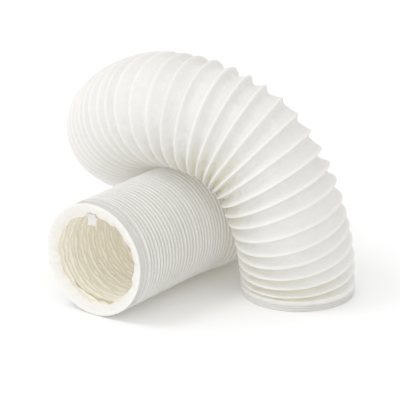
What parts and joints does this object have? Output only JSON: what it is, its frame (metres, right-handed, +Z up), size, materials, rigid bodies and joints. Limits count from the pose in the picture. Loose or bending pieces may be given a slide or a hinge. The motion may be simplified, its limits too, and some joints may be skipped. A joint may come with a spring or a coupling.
{
  "type": "flexible air duct",
  "caption": "White folded-film hose for air on a helical steel wire, lying in a loop: one end open to the front, the other standing upright on its round foot.",
  "frame": {"origin": "centre of the foot's open end, on the floor", "axes": "+Z up; -Y is the way the front mouth faces; +X runs from the front run towards the foot"},
  "size_m": [0.3282, 0.3091, 0.2111],
  "materials": {
    "film": "soft satin, slightly translucent white PVC",
    "tape": "white PVC tape",
    "wire": "drawn spring steel"
  },
  "bodies": {
    "root": {"front_bend_wire_1": "wire", "front_bend_film_1": "film", "leg_bend_wire_1": "wire", "leg_bend_film_1": "film", "loop_wire_1": "wire", "loop_film_1": "film", "loop_wire_2": "wire", "loop_film_2": "film", "loop_wire_3": "wire", "loop_film_3": "film", "loop_wire_4": "wire", "loop_film_4": "film", "loop_wire_5": "wire", "loop_film_5": "film", "loop_wire_6": "wire", "loop_film_6": "film"},
    "front_link_1": {"front_bend_wire_2": "wire", "front_bend_film_2": "film"},
    "front_link_2": {"front_bend_wire_3": "wire", "front_bend_film_3": "film"},
    "front_link_3": {"front_bend_wire_4": "wire", "front_bend_film_4": "film"},
    "front_link_4": {"front_stretch_wire_1": "wire", "front_stretch_film_1": "film"},
    "front_link_5": {"front_stretch_wire_2": "wire", "front_stretch_film_2": "film"},
    "front_link_6": {"front_stretch_wire_3": "wire", "front_stretch_film_3": "film"},
    "front_link_7": {"front_stretch_wire_4": "wire", "front_stretch_film_4": "film"},
    "front_link_8": {"front_stretch_wire_5": "wire", "front_stretch_film_5": "film"},
    "front_link_9": {"front_stretch_wire_6": "wire", "front_stretch_film_6": "film"},
    "front_link_10": {"front_stretch_wire_7": "wire", "front_stretch_film_7": "film"},
    "front_link_11": {"front_stretch_wire_8": "wire", "front_stretch_film_8": "film"},
    "front_link_12": {"front_stretch_wire_9": "wire", "front_stretch_film_9": "film"},
    "front_cuff": {"front_cuff": "film", "front_collar": "film", "front_end_ring": "wire", "front_wire_tape": "tape"},
    "leg_link_1": {"leg_bend_wire_2": "wire", "leg_bend_film_2": "film"},
    "leg_link_2": {"leg_bend_wire_3": "wire", "leg_bend_film_3": "film"},
    "leg_link_3": {"leg_bend_wire_4": "wire", "leg_bend_film_4": "film"},
    "leg_link_4": {"leg_bend_wire_5": "wire", "leg_bend_film_5": "film"},
    "leg_link_5": {"leg_stretch_wire_1": "wire", "leg_stretch_film_1": "film"},
    "leg_link_6": {"leg_stretch_wire_2": "wire", "leg_stretch_film_2": "film"},
    "foot": {"foot_wire_1": "wire", "foot_film_1": "film", "foot_cuff": "film", "foot_end_ring": "wire"}
  },
  "joints": [
    {"name": "front_bend_1", "type": "hinge", "parent": "root", "child": "front_link_1", "pos_m": [-0.11107, -0.03285, 0.05219], "axis": [0, 0, 1], "range_deg": [-2.5, 2.5], "deforming": ["front_bend_film_1"]},
    {"name": "front_bend_2", "type": "hinge", "parent": "front_link_1", "child": "front_link_2", "pos_m": [-0.11182, -0.04259, 0.05218], "axis": [0, 0, 1], "range_deg": [-2.5, 2.5], "deforming": ["front_bend_film_2"]},
    {"name": "front_bend_3", "type": "hinge", "parent": "front_link_2", "child": "front_link_3", "pos_m": [-0.11217, -0.05214, 0.05218], "axis": [0, 0, 1], "range_deg": [-2.5, 2.5], "deforming": ["front_bend_film_3"]},
    {"name": "front_bend_4", "type": "hinge", "parent": "front_link_3", "child": "front_link_4", "pos_m": [-0.11223, -0.06147, 0.05219], "axis": [0, 0, 1], "range_deg": [-2.5, 2.5], "deforming": ["front_bend_film_4"]},
    {"name": "front_stretch_1", "type": "slide", "parent": "front_link_4", "child": "front_link_5", "axis": [0, -1, 0], "range_m": [0, 0.015], "deforming": ["front_stretch_film_1"]},
    {"name": "front_stretch_2", "type": "slide", "parent": "front_link_5", "child": "front_link_6", "axis": [0, -1, 0], "range_m": [0, 0.015], "deforming": ["front_stretch_film_2"]},
    {"name": "front_stretch_3", "type": "slide", "parent": "front_link_6", "child": "front_link_7", "axis": [0, -1, 0], "range_m": [0, 0.015], "deforming": ["front_stretch_film_3"]},
    {"name": "front_stretch_4", "type": "slide", "parent": "front_link_7", "child": "front_link_8", "axis": [0, -1, 0], "range_m": [0, 0.015], "deforming": ["front_stretch_film_4"]},
    {"name": "front_stretch_5", "type": "slide", "parent": "front_link_8", "child": "front_link_9", "axis": [0, -1, 0], "range_m": [0, 0.015], "deforming": ["front_stretch_film_5"]},
    {"name": "front_stretch_6", "type": "slide", "parent": "front_link_9", "child": "front_link_10", "axis": [0, -1, 0], "range_m": [0, 0.015], "deforming": ["front_stretch_film_6"]},
    {"name": "front_stretch_7", "type": "slide", "parent": "front_link_10", "child": "front_link_11", "axis": [0, -1, 0], "range_m": [0, 0.015], "deforming": ["front_stretch_film_7"]},
    {"name": "front_stretch_8", "type": "slide", "parent": "front_link_11", "child": "front_link_12", "axis": [0, -1, 0], "range_m": [0, 0.015], "deforming": ["front_stretch_film_8"]},
    {"name": "front_stretch_9", "type": "slide", "parent": "front_link_12", "child": "front_cuff", "axis": [0, -1, 0], "range_m": [0, 0.015], "deforming": ["front_stretch_film_9"]},
    {"name": "leg_bend_1", "type": "hinge", "parent": "root", "child": "leg_link_1", "pos_m": [-0.05943, -0.02774, 0.15003], "axis": [0.0949, -0.9804, -0.1726], "range_deg": [0, 5], "deforming": ["leg_bend_film_1"]},
    {"name": "leg_bend_2", "type": "hinge", "parent": "leg_link_1", "child": "leg_link_2", "pos_m": [-0.03903, -0.02277, 0.1372], "axis": [0.0949, -0.9804, -0.1726], "range_deg": [0, 5], "deforming": ["leg_bend_film_2"]},
    {"name": "leg_bend_3", "type": "hinge", "parent": "leg_link_2", "child": "leg_link_3", "pos_m": [-0.02262, -0.019, 0.11908], "axis": [0.0949, -0.9804, -0.1726], "range_deg": [0, 5], "deforming": ["leg_bend_film_3"]},
    {"name": "leg_bend_4", "type": "hinge", "parent": "leg_link_3", "child": "leg_link_4", "pos_m": [-0.01088, -0.01578, 0.09753], "axis": [0.0949, -0.9804, -0.1726], "range_deg": [0, 5], "deforming": ["leg_bend_film_4"]},
    {"name": "leg_bend_5", "type": "hinge", "parent": "leg_link_4", "child": "leg_link_5", "pos_m": [-0.00362, -0.01184, 0.07419], "axis": [0.0949, -0.9804, -0.1726], "range_deg": [0, 5], "deforming": ["leg_bend_film_5"]},
    {"name": "leg_stretch_1", "type": "slide", "parent": "leg_link_5", "child": "leg_link_6", "axis": [0, 0, -1], "range_m": [-0.003, 0.012], "deforming": ["leg_stretch_film_1"]},
    {"name": "leg_stretch_2", "type": "slide", "parent": "leg_link_6", "child": "foot", "axis": [0, 0, -1], "range_m": [-0.003, 0.012], "deforming": ["leg_stretch_film_2"]}
  ],
  "couplings": [
    {"joint": "front_bend_2", "follows": "front_bend_1", "ratio": 1},
    {"joint": "front_bend_3", "follows": "front_bend_1", "ratio": 1},
    {"joint": "front_bend_4", "follows": "front_bend_1", "ratio": 1},
    {"joint": "front_stretch_2", "follows": "front_stretch_1", "ratio": 1},
    {"joint": "front_stretch_3", "follows": "front_stretch_1", "ratio": 1},
    {"joint": "front_stretch_4", "follows": "front_stretch_1", "ratio": 1},
    {"joint": "front_stretch_5", "follows": "front_stretch_1", "ratio": 1},
    {"joint": "front_stretch_6", "follows": "front_stretch_1", "ratio": 1},
    {"joint": "front_stretch_7", "follows": "front_stretch_1", "ratio": 1},
    {"joint": "front_stretch_8", "follows": "front_stretch_1", "ratio": 1},
    {"joint": "front_stretch_9", "follows": "front_stretch_1", "ratio": 1},
    {"joint": "leg_bend_2", "follows": "leg_bend_1", "ratio": 1},
    {"joint": "leg_bend_3", "follows": "leg_bend_1", "ratio": 1},
    {"joint": "leg_bend_4", "follows": "leg_bend_1", "ratio": 1},
    {"joint": "leg_bend_5", "follows": "leg_bend_1", "ratio": 1},
    {"joint": "leg_stretch_2", "follows": "leg_stretch_1", "ratio": 1}
  ]
}
